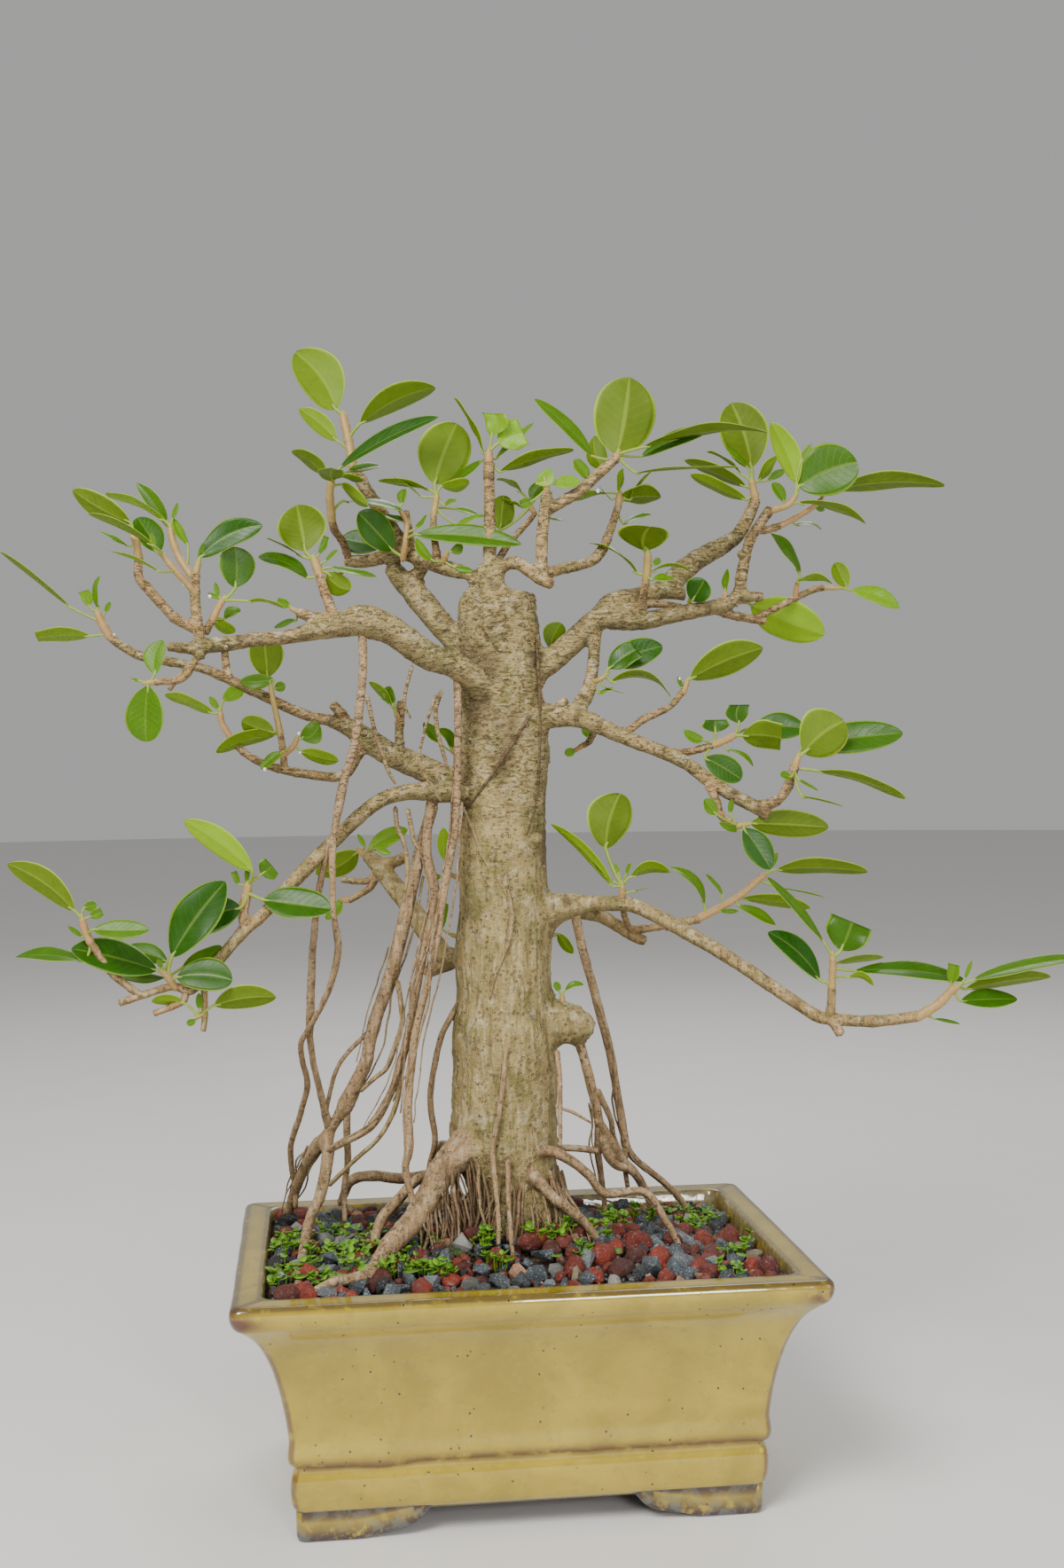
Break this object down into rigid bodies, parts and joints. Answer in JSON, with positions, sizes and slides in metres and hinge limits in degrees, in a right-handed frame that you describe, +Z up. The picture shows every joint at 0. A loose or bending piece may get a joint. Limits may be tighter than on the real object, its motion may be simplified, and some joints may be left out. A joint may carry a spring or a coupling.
{
  "type": "potted chinese banyan bonsai",
  "caption": "Informal banyan fig bonsai with aerial roots, tiered branches and sparse glossy leaves, in a glazed rectangular footed pot filled with gravel.",
  "frame": {"origin": "middle of the pot on the surface that its feet stand on", "axes": "+Z up, +X along the pot's long side to the viewer's right, -Y the pot's front"},
  "size_m": [0.5642, 0.2228, 0.6295],
  "materials": {
    "glaze": "glossy mustard yellow glaze",
    "screen_plastic": "matte",
    "gravel": "rough mixed gravel over potting soil",
    "bark": "matte grey-brown bark",
    "leaf": "glossy dark green leaf",
    "young_leaf": "satin yellow-green leaf"
  },
  "bodies": {
    "root": {"pot": "glaze", "drainage_screen_left": "screen_plastic", "drainage_screen_right": "screen_plastic", "soil": "gravel", "wood": "bark", "shoot_top_left": "young_leaf", "shoot_left_crown": "leaf", "shoot_left_round": "leaf", "shoot_left_arm": "leaf", "shoot_crown_left": "young_leaf", "shoot_arm_left_small": "leaf", "shoot_crown_centre": "leaf", "shoot_crown_low": "leaf", "shoot_crown_stub": "leaf", "shoot_crown_right": "leaf", "shoot_right_arm": "leaf", "shoot_right_heart": "leaf", "shoot_upper_right": "leaf", "shoot_right_top": "young_leaf", "shoot_right_long": "leaf", "shoot_right_mid": "leaf", "shoot_right_mid_end": "leaf", "shoot_right_hidden": "leaf", "shoot_right_bud": "leaf", "shoot_right_sprout": "leaf", "shoot_trunk_sprout": "leaf", "shoot_link_sprout": "leaf", "shoot_right_inner": "leaf", "shoot_right_tuft": "leaf", "shoot_right_round": "leaf", "shoot_right_down": "leaf", "shoot_right_fork": "leaf", "shoot_right_trimmed": "leaf", "shoot_right_branch_top": "leaf", "shoot_far_right": "leaf", "shoot_far_left_top": "leaf", "shoot_left_fan": "leaf", "shoot_left_top": "young_leaf", "shoot_left_right": "leaf", "shoot_left_inner": "leaf", "shoot_left_tip": "young_leaf", "shoot_left_twig": "young_leaf", "shoot_left_low_twig": "leaf", "shoot_left_low_mid": "leaf", "shoot_left_low_fork": "leaf", "shoot_left_low_end": "leaf", "shoot_left_low_leaves": "leaf", "shoot_left_bottom": "leaf", "shoot_left_low_up": "leaf", "shoot_behind_left": "leaf", "shoot_behind_low": "leaf", "shoot_trunk_left_bud": "leaf", "shoot_trunk_low_bud": "leaf", "shoot_cut_stem_shoot": "leaf", "shoot_trunk_upper_bud": "leaf", "shoot_trunk_right_bud": "leaf", "shoot_knob_buds": "leaf", "shoot_right_bit": "leaf", "shoot_left_stub_bits": "leaf"}
  },
  "joints": []
}
